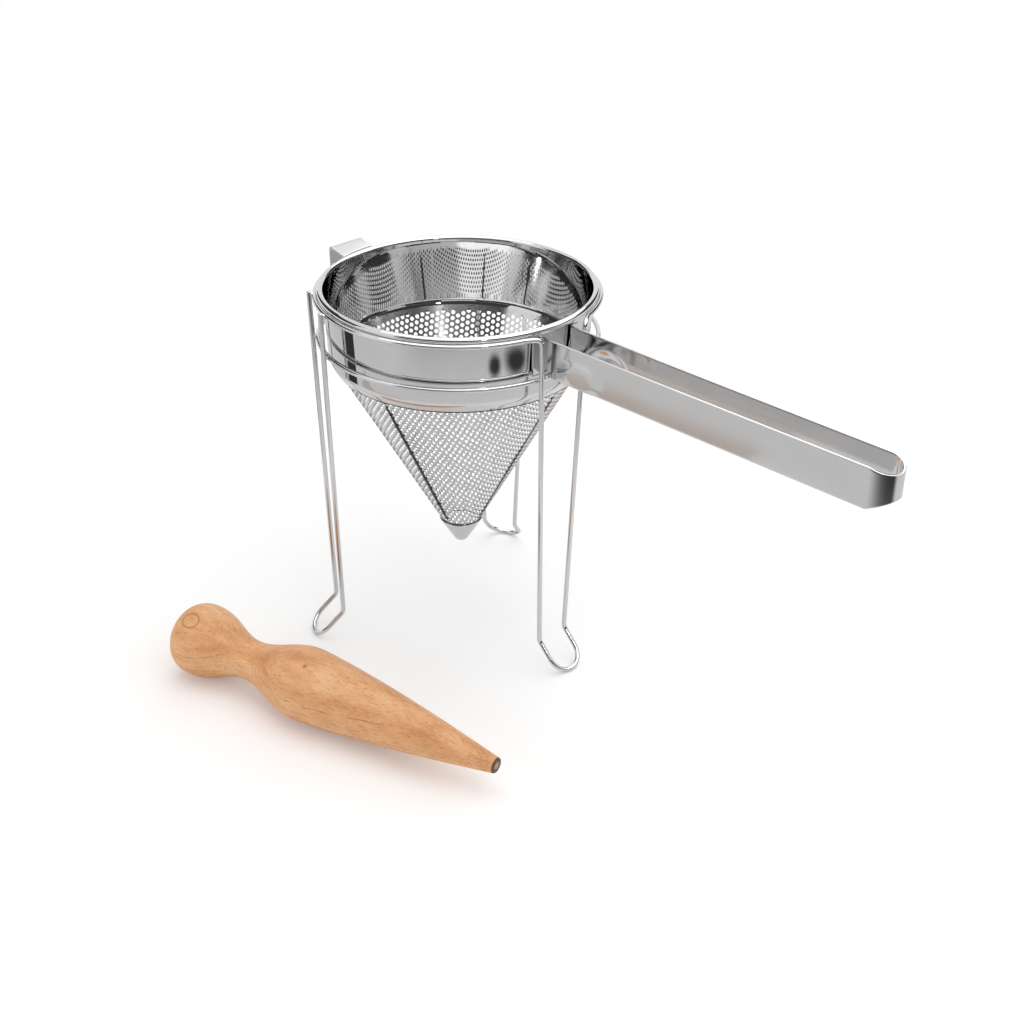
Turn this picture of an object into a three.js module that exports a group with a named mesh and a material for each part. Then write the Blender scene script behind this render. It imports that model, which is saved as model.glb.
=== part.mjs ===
// A conical food press: a sieve cone with a long handle, the wire stand that holds it, and its wooden pestle.
// Millimetres, +Z up, standing on z = 0. The handle points along +X.
import * as THREE from "three";

// Clearance between pieces that rest on, fit in or are welded to each other
const clearance = 0.3;

// Sieve: collar with its rolled rim
const rimRadius = 88; // circle through the middle of the rolled rim
const rimHeight = 246; // that circle above the table
const rollRadius = 2.3; // outside of the roll
const rollSweep = THREE.MathUtils.degToRad(285);
const collarSheet = 0.9;
const collarDepth = 44; // from the rim circle down to the corner of the shoulder
const shoulderRadius = 84.6; // outside of the band at that corner
const shoulderBend = 10; // rounding of the corner
const skirtDrop = 6; // from the corner down to the lower edge of the collar

// Sieve: perforated cone and its tip cap
const coneSheet = 0.8;
const capDepth = 169.6; // from the rim circle down to the upper edge of the cap
const capRadius = 15.2; // outside of the cap at that edge
const capHeight = 17.6;
const capFaceRadius = 4.4; // flat end of the cap
const coneTuck = 2.5; // how far the cone reaches into the cap
const coneMargin = 0.8; // plain sheet between the openings and the collar or the cap
const openingRows = 8; // a coarse grid stands for the many small holes
const openingColumns = 16;
const openPartOfRow = 0.72;

// Sieve: hairpin handle of flat strip
const handleReach = 328.5; // from the axis to the far end
const handleStrip = 1.5;
const handleHeight = 24.4;
const handleDrop = 4.7; // from the rim circle down to the upper edges
const handleRootHalf = 12.4; // half the spread at the collar, to the middle of the strip
const handleEndHalf = 11.5; // half the spread at the round end
const handleTab = 7; // length of each foot that lies along the collar
const handleRootBend = 2.2;
const handleEndDrop = 3.2; // how far the upper edge falls towards the middle of the round end
const handleEndRise = 5.5; // how far the lower edge rises there

// Sieve: pot hook across from the handle
const hookOffset = 8.5; // how far it sits to one side of the handle's line
const hookWidth = 26;
const hookStrip = 1.2;
const hookReach = 15; // from the rim circle out to the lip
const hookSlope = 0.24; // rise of the strap for each millimetre outwards
const hookLip = 14; // length of the lip
const hookBend = 2.4;
const hookSeatAngle = THREE.MathUtils.degToRad(25); // where the strap meets the roll, above the horizontal

// Stand of round wire
const wireRadius = 1.6;
const seatAngle = THREE.MathUtils.degToRad(50); // where the roll rests on the upper ring, from the vertical
const legSpread = THREE.MathUtils.degToRad(117.8); // from the front leg round to each of the other two
const legTopHalf = 19; // half the width of a leg at the upper ring
const legFootHalf = 12; // half its width at the foot bend
const footBendRadius = 88.4; // from the axis to the foot bend
const footBendHeight = 20.8;
const footReach = 107.3; // from the axis to the tip of the foot
const footBend = 6;
const ringBend = 4; // bend from the upper ring down into the front leg
const ringRunOut = THREE.MathUtils.degToRad(6); // arc in which the ring moves out to the front leg
const legStub = 0.6; // height of the cut leg ends above the upper ring

// Pestle of turned wood, lying in front of the stand
const pestleLength = 253;
const knobRadius = 24.4;
const knobLength = 20; // from the end to the widest place of the knob
const neckRadius = 13.3;
const neckPlace = 61; // distances from the knob end
const bellyRadius = 24.1;
const bellyPlace = 108;
const pestleTipRadius = 4.9;
const pestleKnobX = -84; // place of the knob end on the table, from the axis of the stand
const pestleKnobY = -178.5;
const pestleHeading = THREE.MathUtils.degToRad(12);

// Fineness of the round shapes
const turnSteps = 48;
const webSteps = 1; // of the turn steps in a column of openings, those that stay closed
const wireSides = 8;
const rollSteps = 18;
const bendSteps = 4;
const loopSteps = 10;
const hookSteps = 6; // across the hook
const knobSteps = 7;
const swellSteps = 7; // from the knob to the neck, and from the neck to the belly
const taperSteps = 12;
const pestleTurnSteps = 32;

const polished = { color: 0xd6d7d8, roughness: 0.12, metalness: 1 };
const chromed = { color: 0xdadcde, roughness: 0.1, metalness: 1 };
const beech = { color: 0xd49a5e, roughness: 0.55, metalness: 0 };

function piece(name, geometry, finish) {
  const mesh = new THREE.Mesh(geometry, new THREE.MeshStandardMaterial(finish));
  mesh.name = name;
  return mesh;
}

// A closed or axis-to-axis profile of (radius, height) points turned about Z
function turned(profile, steps) {
  const points = THREE.ShapeUtils.area(profile) < 0 ? profile.slice().reverse() : profile.slice();
  const touchesAxis = points.some((point) => point.x === 0);
  if (!touchesAxis) points.push(points[0].clone());
  return new THREE.LatheGeometry(points, steps).rotateX(Math.PI / 2);
}

function arcPoints(centre, radius, fromAngle, toAngle, steps) {
  return Array.from({ length: steps + 1 }, (_, i) => {
    const angle = THREE.MathUtils.lerp(fromAngle, toAngle, i / steps);
    return new THREE.Vector2(centre.x + radius * Math.cos(angle), centre.y + radius * Math.sin(angle));
  });
}

// The arc of a given radius that rounds the corner between two straight runs, in the plane or in space
function roundedCorner(before, corner, after, radius, steps) {
  const back = before.clone().sub(corner).normalize();
  const ahead = after.clone().sub(corner).normalize();
  const half = Math.acos(THREE.MathUtils.clamp(back.dot(ahead), -1, 1)) / 2;
  const middle = back.clone().add(ahead).normalize();
  const centre = corner.clone().addScaledVector(middle, radius / Math.sin(half));
  const start = corner.clone().addScaledVector(back, radius / Math.tan(half)).sub(centre);
  const side = start.clone().addScaledVector(middle, -start.dot(middle)).normalize();
  const sweep = Math.PI / 2 - half;
  return Array.from({ length: steps + 1 }, (_, i) => {
    const angle = THREE.MathUtils.lerp(sweep, -sweep, i / steps);
    return centre.clone()
      .addScaledVector(middle, -radius * Math.cos(angle))
      .addScaledVector(side, radius * Math.sin(angle));
  });
}

// The outline of a strip of even thickness whose middle follows a run of points in the plane
function ribbonOutline(middle, thickness) {
  const edges = middle.map((point, i) => {
    const into = point.clone().sub(middle[Math.max(i - 1, 0)]);
    const out = middle[Math.min(i + 1, middle.length - 1)].clone().sub(point);
    const first = (i > 0 ? into : out).normalize();
    const second = (i < middle.length - 1 ? out : into).normalize();
    const across = first.clone().add(second).normalize();
    const offset = thickness / 2 / across.dot(first);
    return new THREE.Vector2(-across.y, across.x).multiplyScalar(offset);
  });
  const left = middle.map((point, i) => point.clone().add(edges[i]));
  const right = middle.map((point, i) => point.clone().sub(edges[i]));
  return new THREE.Shape([...left, ...right.reverse()]);
}

// A path that puts one section of a swept piece at each of its stations
class StationPath extends THREE.Curve {
  constructor(stations) {
    super();
    this.stations = stations;
  }

  station(share) {
    return Math.round(share * (this.stations.length - 1));
  }

  getPointAt(share, target = new THREE.Vector3()) {
    return target.copy(this.stations[this.station(share)]);
  }

  getTangentAt(share, target = new THREE.Vector3()) {
    const i = this.station(share);
    const last = this.stations.length - 1;
    const into = this.stations[i].clone().sub(this.stations[Math.max(i - 1, 0)]).normalize();
    const out = this.stations[Math.min(i + 1, last)].clone().sub(this.stations[i]).normalize();
    return target.copy(into.add(out).normalize());
  }
}

function swept(section, stations) {
  return new THREE.ExtrudeGeometry(new THREE.Shape(section), {
    extrudePath: new StationPath(stations),
    steps: stations.length - 1,
  });
}

function wire(stations) {
  return swept(arcPoints(new THREE.Vector2(), wireRadius, 0, 2 * Math.PI, wireSides).slice(1), stations);
}

// Lines of the bowl, as radii at a depth below the rim circle
const coneSlope = (shoulderRadius - capRadius) / (capDepth - collarDepth);
const coneTilt = Math.atan(coneSlope);
const skirtOutside = (depth) => shoulderRadius - coneSlope * (depth - collarDepth);
const skirtInside = (depth) => skirtOutside(depth) - collarSheet / Math.cos(coneTilt);
const coneOutside = (depth) => skirtInside(depth) - clearance / Math.cos(coneTilt);
const coneInside = (depth) => coneOutside(depth) - coneSheet / Math.cos(coneTilt);
const wallTopInside = rimRadius - rollRadius;
const wallTop = wallTopInside + collarSheet;
const wallTilt = Math.atan((wallTop - shoulderRadius) / collarDepth);
const wallOutside = (depth) => wallTop - Math.tan(wallTilt) * depth;
const shoulderTangent = shoulderBend * Math.tan((coneTilt - wallTilt) / 2);
const shoulderEnd = collarDepth + shoulderTangent * Math.cos(coneTilt);
const skirtDepth = collarDepth + skirtDrop;
const atDepth = (radius, depth) => new THREE.Vector2(radius, rimHeight - depth);

// The collar: band, rounded shoulder and skirt, with its upper edge rolled outwards
function makeCollar() {
  const rollCentre = atDepth(rimRadius, 0);
  const rollEnd = Math.PI - rollSweep;
  const outsideOfRoll = arcPoints(rollCentre, rollRadius, Math.PI, rollEnd, rollSteps);
  const insideOfRoll = arcPoints(rollCentre, rollRadius - collarSheet, rollEnd, Math.PI, rollSteps);
  const corner = atDepth(shoulderRadius, collarDepth);
  const skirtEdge = atDepth(skirtOutside(skirtDepth), skirtDepth);
  const shoulder = roundedCorner(insideOfRoll.at(-1), corner, skirtEdge, shoulderBend, bendSteps);
  const inwards = [
    new THREE.Vector2(-Math.cos(wallTilt), Math.sin(wallTilt)),
    new THREE.Vector2(-Math.cos(coneTilt), Math.sin(coneTilt)),
  ];
  const mitre = inwards[0].clone().add(inwards[1]).divideScalar(1 + inwards[0].dot(inwards[1]));
  const innerCorner = corner.clone().addScaledVector(mitre, collarSheet);
  const innerEdge = skirtEdge.clone().addScaledVector(inwards[1], collarSheet);
  const innerShoulder = roundedCorner(
    innerEdge, innerCorner, outsideOfRoll[0], shoulderBend - collarSheet, bendSteps);
  return turned(
    [...outsideOfRoll, ...insideOfRoll, ...shoulder, skirtEdge, innerEdge, ...innerShoulder], turnSteps);
}

// The wire that stiffens the rim inside the roll
function makeRimWire() {
  const radius = rollRadius - collarSheet - clearance;
  return new THREE.TorusGeometry(rimRadius, radius, wireSides, turnSteps).translate(0, 0, rimHeight);
}

// The cone of perforated sheet, open at both ends: its upper edge lies inside the skirt, its lower end in the
// cap. It is a grid of patches, one turn step wide; every second row has openings between webs.
function makeCone() {
  const firstOpening = skirtDepth + coneMargin;
  const rowDepth = (capDepth - coneMargin - firstOpening) / openingRows;
  const webDepth = (1 - openPartOfRow) * rowDepth;
  const rowDepths = Array.from({ length: openingRows }, (_, i) => firstOpening + i * rowDepth);
  const depths = [
    shoulderEnd + clearance,
    ...rowDepths.flatMap((depth) => [depth + webDepth / 2, depth + rowDepth - webDepth / 2]),
    capDepth + coneTuck,
  ];
  const lastRow = depths.length - 2;
  const columnSteps = turnSteps / openingColumns;
  const isOpen = (row, step) =>
    row < 0 || row > lastRow || (row % 2 === 1 && (step + turnSteps) % columnSteps >= webSteps);

  const layer = (radiusAt) => depths.flatMap((depth) =>
    Array.from({ length: turnSteps }, (_, step) => {
      const turn = 2 * Math.PI * step / turnSteps;
      return [radiusAt(depth) * Math.cos(turn), radiusAt(depth) * Math.sin(turn), rimHeight - depth];
    }));
  const outside = layer(coneOutside);
  const corners = [...outside, ...layer(coneInside)];
  const faces = [];
  const addFace = (a, b, c, d) => faces.push(a, b, c, a, c, d);
  const neighbours = [[0, -1], [1, 0], [0, 1], [-1, 0]];
  for (let row = 0; row <= lastRow; row += 1) {
    for (let step = 0; step < turnSteps; step += 1) {
      if (isOpen(row, step)) continue;
      const next = (step + 1) % turnSteps;
      const above = row * turnSteps;
      const below = above + turnSteps;
      const patch = [above + step, below + step, below + next, above + next];
      const inner = patch.map((corner) => corner + outside.length);
      addFace(...patch);
      addFace(...inner.slice().reverse());
      neighbours.forEach(([down, along], side) => {
        const end = (side + 1) % patch.length;
        if (isOpen(row + down, step + along)) addFace(patch[end], patch[side], inner[side], inner[end]);
      });
    }
  }
  const geometry = new THREE.BufferGeometry();
  geometry.setAttribute("position", new THREE.Float32BufferAttribute(corners.flat(), 3));
  geometry.setIndex(faces);
  geometry.computeVertexNormals();
  return geometry;
}

// The cup that closes the tip of the cone
function makeTipCap() {
  const floor = capDepth + coneTuck + clearance;
  const face = capDepth + capHeight;
  return turned([
    atDepth(0, face),
    atDepth(capFaceRadius, face),
    atDepth(capRadius, capDepth),
    atDepth(skirtInside(capDepth), capDepth),
    atDepth(skirtInside(floor), floor),
    atDepth(0, floor),
  ], turnSteps);
}

// The handle: one strip from a foot on the collar, out, round the end, where it is narrower, and back
function makeHandle() {
  const footRadius = wallOutside(handleDrop) + clearance + handleStrip / 2;
  const rootAngle = Math.asin(handleRootHalf / footRadius);
  const root = new THREE.Vector2(Math.cos(rootAngle), Math.sin(rootAngle)).multiplyScalar(footRadius);
  const along = new THREE.Vector2(-Math.sin(rootAngle), Math.cos(rootAngle));
  const footEnd = root.clone().addScaledVector(along, handleTab);
  const endCentre = new THREE.Vector2(handleReach - handleStrip / 2 - handleEndHalf, 0);
  const endStart = new THREE.Vector2(endCentre.x, handleEndHalf);
  const rootArc = roundedCorner(footEnd, root, endStart, handleRootBend, bendSteps);
  const oneSide = [footEnd, ...rootArc];
  const otherSide = oneSide.map((point) => new THREE.Vector2(point.x, -point.y)).reverse();
  const roundEnd = arcPoints(endCentre, handleEndHalf, Math.PI / 2, -Math.PI / 2, loopSteps);
  const section = [[1, 1], [-1, 1], [-1, -1], [1, -1]]
    .map(([up, across]) => new THREE.Vector2(up * handleHeight / 2, across * handleStrip / 2));
  const path = [...oneSide, ...roundEnd, ...otherSide];
  const strip = swept(section, path.map((point) => new THREE.Vector3(point.x, point.y, 0)));
  const edges = strip.getAttribute("position");
  for (let i = 0; i < edges.count; i += 1) {
    const fromCentre = new THREE.Vector2(edges.getX(i), edges.getY(i)).sub(endCentre);
    const share = Math.max(fromCentre.x, 0) / fromCentre.length();
    const narrowing = edges.getZ(i) > 0 ? -handleEndDrop : handleEndRise;
    edges.setZ(i, edges.getZ(i) + narrowing * share);
  }
  return strip.translate(0, 0, rimHeight - handleDrop - handleHeight / 2);
}

// The pot hook: a strap whose first edge follows the roll, and which rises outwards and turns down
function makePotHook() {
  const seat = rollRadius + clearance;
  const start = new THREE.Vector2(
    rimRadius + seat * Math.cos(hookSeatAngle),
    rimHeight + seat * Math.sin(hookSeatAngle) + hookStrip / 2,
  );
  const corner = new THREE.Vector2(rimRadius + hookReach, start.y);
  const end = new THREE.Vector2(corner.x, corner.y - hookLip);
  const bend = roundedCorner(start, corner, end, hookBend, bendSteps);
  const outline = ribbonOutline([start, ...bend, end], hookStrip);
  const strap = new THREE.ExtrudeGeometry(outline, { depth: hookWidth, steps: hookSteps, bevelEnabled: false })
    .rotateX(Math.PI / 2)
    .translate(0, hookWidth / 2 + hookOffset, 0);
  const edges = strap.getAttribute("position");
  for (let i = 0; i < edges.count; i += 1) {
    const onFirstEdge = edges.getX(i) < start.x + hookStrip;
    if (onFirstEdge) edges.setX(i, Math.sqrt(start.x ** 2 - edges.getY(i) ** 2));
    edges.setZ(i, edges.getZ(i) + hookSlope * (edges.getX(i) - start.x));
  }
  return strap.rotateZ(Math.PI);
}

// Lines of the stand: the roll rests on the upper ring, the handle on the lower one, the legs lie outside both
const seatDistance = rollRadius + wireRadius + clearance;
const upperRingRadius = rimRadius + seatDistance * Math.sin(seatAngle);
const upperRingHeight = rimHeight - seatDistance * Math.cos(seatAngle);
const lowerRingHeight = rimHeight - handleDrop - handleHeight - clearance - wireRadius;
const legTopDistance = upperRingRadius + 2 * wireRadius + clearance;
const legTopRadius = Math.sqrt(legTopDistance ** 2 - legTopHalf ** 2);

// A point on a leg wire at a height, before the leg is turned to its place
function legPoint(height, side) {
  const share = (upperRingHeight - height) / (upperRingHeight - footBendHeight);
  const radius = THREE.MathUtils.lerp(legTopRadius, footBendRadius, share);
  const half = THREE.MathUtils.lerp(legTopHalf, legFootHalf, share);
  return new THREE.Vector3(radius, side * half, height);
}

const legAtLowerRing = legPoint(lowerRingHeight, 1);
const lowerRingRadius = Math.hypot(legAtLowerRing.x, legAtLowerRing.y) - 2 * wireRadius - clearance;

// The foot of a leg, from its bend on one side round the sloping loop to its bend on the other
function footStations(above) {
  const tip = new THREE.Vector3(footReach, 0, wireRadius);
  const heel = new THREE.Vector3(footBendRadius, 0, footBendHeight);
  const slope = tip.clone().sub(heel).normalize();
  const loopCentre = tip.clone().addScaledVector(slope, -legFootHalf);
  const loop = arcPoints(new THREE.Vector2(), legFootHalf, -Math.PI / 2, Math.PI / 2, loopSteps)
    .map((point) => loopCentre.clone().addScaledVector(slope, point.x).setY(point.y));
  const nearHeel = legPoint(footBendHeight, -1);
  const farHeel = legPoint(footBendHeight, 1);
  const nearBend = roundedCorner(above[0], nearHeel, loop[0], footBend, bendSteps);
  const farBend = roundedCorner(loop.at(-1), farHeel, above[1], footBend, bendSteps);
  return [...nearBend, ...loop, ...farBend];
}

// A leg that is a hairpin of its own, welded to the outsides of both rings
function makeLeg(turn) {
  const top = upperRingHeight + wireRadius + legStub;
  const ends = [legPoint(top, -1), legPoint(top, 1)];
  return wire([ends[0], ...footStations(ends), ends[1]]).rotateZ(turn);
}

// The upper ring, whose two ends turn down at the handle and make the front leg
function makeUpperRing() {
  const corners = [legPoint(upperRingHeight, -1), legPoint(upperRingHeight, 1)];
  const runOutEnd = Math.atan2(legTopHalf, legTopRadius) + ringRunOut;
  const buttHalf = clearance / 2 / upperRingRadius;
  const half = arcPoints(new THREE.Vector2(), upperRingRadius, Math.PI - buttHalf, runOutEnd, turnSteps / 2)
    .map((point) => new THREE.Vector3(point.x, point.y, upperRingHeight));
  const otherHalf = half.map((point) => new THREE.Vector3(point.x, -point.y, point.z));
  const foot = footStations(corners);
  const bendDown = roundedCorner(otherHalf.at(-1), corners[0], foot[0], ringBend, bendSteps);
  const bendBack = roundedCorner(foot.at(-1), corners[1], half.at(-1), ringBend, bendSteps);
  return wire([...otherHalf, ...bendDown, ...foot, ...bendBack, ...half.reverse()]);
}

function makeLowerRing() {
  return new THREE.TorusGeometry(lowerRingRadius, wireRadius, wireSides, turnSteps)
    .translate(0, 0, lowerRingHeight);
}

// Radius of the pestle at a distance from its knob end: a full knob, a smooth neck, a belly that runs to the tip
function pestleRadius(place) {
  const wave = (share) => (1 - Math.cos(Math.PI * share)) / 2;
  if (place < knobLength) {
    const knobFullness = 2.6;
    return knobRadius * Math.sqrt(1 - ((knobLength - place) / knobLength) ** knobFullness);
  }
  if (place < neckPlace) {
    return THREE.MathUtils.lerp(knobRadius, neckRadius, wave((place - knobLength) / (neckPlace - knobLength)));
  }
  if (place < bellyPlace) {
    return THREE.MathUtils.lerp(neckRadius, bellyRadius, wave((place - neckPlace) / (bellyPlace - neckPlace)));
  }
  const bellyFullness = 1.35;
  const share = ((place - bellyPlace) / (pestleLength - bellyPlace)) ** bellyFullness;
  return THREE.MathUtils.lerp(bellyRadius, pestleTipRadius, share);
}

// The pestle, turned along X from its knob end and then laid on its knob and its belly
function makePestle() {
  const between = (from, to, steps) =>
    Array.from({ length: steps }, (_, i) => THREE.MathUtils.lerp(from, to, i / steps));
  const knobPlaces = between(0, Math.PI / 2, knobSteps).map((angle) => knobLength * (1 - Math.cos(angle)));
  const places = [
    ...knobPlaces,
    ...between(knobLength, neckPlace, swellSteps),
    ...between(neckPlace, bellyPlace, swellSteps),
    ...between(bellyPlace, pestleLength, taperSteps),
    pestleLength,
  ];
  const profile = places.map((place) => new THREE.Vector2(pestleRadius(place), place));
  const tipCentre = new THREE.Vector2(0, pestleLength);
  const tilt = Math.asin((knobRadius - bellyRadius) / (bellyPlace - knobLength));
  const solid = turned([...profile, tipCentre], pestleTurnSteps)
    .rotateY(Math.PI / 2)
    .rotateY(tilt)
    .rotateZ(pestleHeading);
  solid.computeBoundingBox();
  return solid.translate(pestleKnobX, pestleKnobY, -solid.boundingBox.min.z);
}

const sieve = new THREE.Group();
sieve.add(
  piece("collar", makeCollar(), polished),
  piece("rim_wire", makeRimWire(), polished),
  piece("perforated_cone", makeCone(), polished),
  piece("cone_tip_cap", makeTipCap(), polished),
  piece("handle", makeHandle(), polished),
  piece("pot_hook", makePotHook(), polished),
);

const stand = new THREE.Group();
stand.add(
  piece("upper_ring_with_front_leg", makeUpperRing(), chromed),
  piece("lower_ring", makeLowerRing(), chromed),
  piece("left_leg", makeLeg(-legSpread), chromed),
  piece("rear_leg", makeLeg(legSpread), chromed),
);

const set = new THREE.Group();
set.add(sieve, stand, piece("pestle", makePestle(), beech));

// The origin is below the middle of everything
const middle = new THREE.Box3().setFromObject(set).getCenter(new THREE.Vector3());
set.position.set(-middle.x, -middle.y, 0);

const foodPress = new THREE.Group();
foodPress.add(set);

export default foodPress;
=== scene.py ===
# %% [markdown]
# # A conical food press, dressed around its solids
#
# The press is a polished sieve cone with a long hairpin handle, the wire stand that carries it, and a
# turned wooden pestle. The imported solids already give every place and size. This lesson adds what the
# eye looks for: real holes in the cone, smooth round wires, a rolled rim, a bent strip with soft edges,
# polish and grain. Shapes are written in millimetres, as they are measured on the bench, and turned
# into metres at the end. Finishes and lights that reach over the table say so where they count in
# metres.

# %% Load the frame
import math

import bmesh
import bpy
import numpy as np
from mathutils import Matrix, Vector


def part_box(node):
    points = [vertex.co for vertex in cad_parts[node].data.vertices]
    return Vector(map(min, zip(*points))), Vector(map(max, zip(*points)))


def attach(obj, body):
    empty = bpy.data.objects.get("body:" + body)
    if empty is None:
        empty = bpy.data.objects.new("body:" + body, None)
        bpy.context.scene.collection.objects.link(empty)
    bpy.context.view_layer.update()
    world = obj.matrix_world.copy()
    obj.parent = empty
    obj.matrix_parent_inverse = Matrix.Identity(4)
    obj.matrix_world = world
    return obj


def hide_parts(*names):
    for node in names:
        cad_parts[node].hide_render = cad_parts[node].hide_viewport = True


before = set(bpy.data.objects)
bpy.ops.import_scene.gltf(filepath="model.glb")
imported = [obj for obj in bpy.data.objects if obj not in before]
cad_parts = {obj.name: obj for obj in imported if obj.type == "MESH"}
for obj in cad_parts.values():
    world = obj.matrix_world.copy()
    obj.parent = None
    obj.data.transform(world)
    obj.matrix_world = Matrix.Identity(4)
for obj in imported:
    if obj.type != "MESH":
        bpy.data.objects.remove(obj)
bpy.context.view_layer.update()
MM = 0.001
collar_low, collar_high = (np.array(corner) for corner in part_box("collar"))
SIEVE_AXIS = np.array([*(collar_low + collar_high)[:2] / 2, 0.0])
print("solids:", ", ".join(sorted(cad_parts)), "| axis of the sieve at", SIEVE_AXIS.round(4))

# %% [markdown]
# ## Camera
#
# The camera stands where a fit to the rim, the rings, the feet and the pestle's outline puts it. Yaw
# turns about the vertical from +X, pitch looks down, and roll is the small tilt of the picture. Its
# three directions come from these angles, and its lens from the fitted focal length in picture widths.

# %% Place the camera
focal_picture_widths = 1.4556
camera_place = np.array([655.0, -610.0, 599.8])
camera_yaw, camera_pitch, camera_roll = np.radians([134.775, 30.203, 0.405])
quarter_turn = math.pi / 2


def direction(turn, rise=0.0):
    """The unit vector at a turn about the vertical from +X and a rise above the level, in radians."""
    return np.array([math.cos(rise) * math.cos(turn), math.cos(rise) * math.sin(turn), math.sin(rise)])


def linked(name, data):
    """A new object of the scene that holds the data."""
    made = bpy.data.objects.new(name, data)
    bpy.context.scene.collection.objects.link(made)
    return made


def pose(right, up, back, place):
    """The matrix that gives an object its three directions and its place."""
    matrix = np.eye(4)
    matrix[:3] = np.stack([right, up, back, place], axis=1)
    return Matrix(matrix.tolist())


forward = direction(camera_yaw, -camera_pitch)
level_right = direction(camera_yaw - quarter_turn)
level_up = np.cross(level_right, forward)
camera_right = math.cos(camera_roll) * level_right + math.sin(camera_roll) * level_up
camera_up = math.cos(camera_roll) * level_up - math.sin(camera_roll) * level_right
camera_data = bpy.data.cameras.new("photo_camera")
camera_data.sensor_fit = "HORIZONTAL"
camera_data.lens = focal_picture_widths * camera_data.sensor_width
camera = linked("photo_camera", camera_data)
camera.matrix_world = pose(camera_right, camera_up, -forward, SIEVE_AXIS + camera_place * MM)
bpy.context.scene.camera = camera
print("lens", round(camera_data.lens, 2), "mm, camera at", camera.matrix_world.translation)

# %% [markdown]
# ## Writing materials as arithmetic
#
# A finish is a small calculation from a place on the piece to a colour and a roughness. `Shade` wraps
# one value of that calculation, so that sums and products read as they would on paper. Everything else
# a finish needs, such as noise or a ramp, is added by one method that takes the node's settings first
# and then its inputs.

# %% Shader values
class Shade:
    """One value in a material: arithmetic adds Math nodes, and node() adds a node of any other kind."""

    def __init__(self, tree, socket=None):
        self.tree = tree
        self.socket = socket

    def node(self, kind, settings=None, inputs=None, out=0):
        made = self.tree.nodes.new(kind)
        for name, value in (settings or {}).items():
            if name == "stops":
                for i, (position, colour) in enumerate(value):
                    known = i < len(made.color_ramp.elements)
                    stop = made.color_ramp.elements[i] if known else made.color_ramp.elements.new(position)
                    stop.position = position
                    stop.color = colour
            else:
                setattr(made, name, value)
        for name, value in (inputs or {}).items():
            if isinstance(value, Shade):
                self.tree.links.new(value.socket, made.inputs[name])
            else:
                made.inputs[name].default_value = value
        return Shade(self.tree, made.outputs[out])

    def math(self, operation, first, second):
        return self.node("ShaderNodeMath", {"operation": operation}, {0: first, 1: second})

    def __add__(self, other):
        return self.math("ADD", self, other)

    def __sub__(self, other):
        return self.math("SUBTRACT", self, other)

    def __rsub__(self, other):
        return self.math("SUBTRACT", other, self)

    def __mul__(self, other):
        return self.math("MULTIPLY", self, other)

    def step(self, low, high):
        """Rises smoothly from 0 to 1 as the value goes from low to high."""
        limits = {"Value": self, "From Min": low, "From Max": high}
        return self.node("ShaderNodeMapRange", {"interpolation_type": "SMOOTHSTEP"}, limits)

    def mix(self, at_zero, at_one):
        """Blends two colours by this value."""
        return self.node("ShaderNodeMix", {"data_type": "RGBA"}, {0: self, 6: at_zero, 7: at_one}, out=2)

    def noise(self, place, stretch, detail=3.0):
        """Cloudy noise over a place, with so many clouds to the metre along each direction."""
        stretched = self.node("ShaderNodeMapping", None, {"Vector": place, "Scale": stretch})
        wanted = {"Vector": stretched, "Scale": 1.0, "Detail": detail, "Roughness": 0.6}
        return self.node("ShaderNodeTexNoise", None, wanted, out="Fac")

    def coordinates(self, kind):
        """The place that is shaded: on the piece's sheet for UV, or in the scene for Object."""
        return self.node("ShaderNodeTexCoord", out=kind)

    def parts(self):
        """The three lengths of a place."""
        return [self.node("ShaderNodeSeparateXYZ", None, {"Vector": self}, out=axis) for axis in "XYZ"]

    def distance(self, place):
        """How far a place is from a fixed one."""
        ends = {0: self, 1: tuple(place)}
        return self.node("ShaderNodeVectorMath", {"operation": "DISTANCE"}, ends, out="Value")

    def into(self, shader, name):
        self.tree.links.new(self.socket, shader.inputs[name])


def new_finish(slot, plain_values):
    """A material for a slot, its main shader with the plain values set, and a start for the arithmetic."""
    material = bpy.data.materials.new(f"{slot} finish")
    material.use_nodes = True
    shader = material.node_tree.nodes["Principled BSDF"]
    for socket, value in plain_values.items():
        shader.inputs[socket].default_value = value
    return material, shader, Shade(material.node_tree)


print("materials are written with", Shade.__name__)

# %% [markdown]
# ## Steel finishes
#
# The collar and cap are spun and buffed, so the faint lines of the wheel run round them. The strip of
# the handle was polished along its length, the perforated sheet was bought bright and only wiped, and
# the stand is plated wire drawn through a die. All are metal under different lines, so one function
# writes them: the lines are noise stretched along the sheet, and slow clouds over them stand for
# handling marks. A painted shade line can be added: the dark line at the collar's lower edge is painted
# shade where the skirt meets the cone.

# %% Steel
cloud_stretch, line_share = (45.0, 45.0, 1.0), 0.55
# Colour and softness of the painted shade line, a dark line painted where shade falls at a joint.
painted_shade_colour, painted_shade_softness = (0.03, 0.03, 0.03, 1.0), 0.2
relief_depth = 0.1


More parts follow.
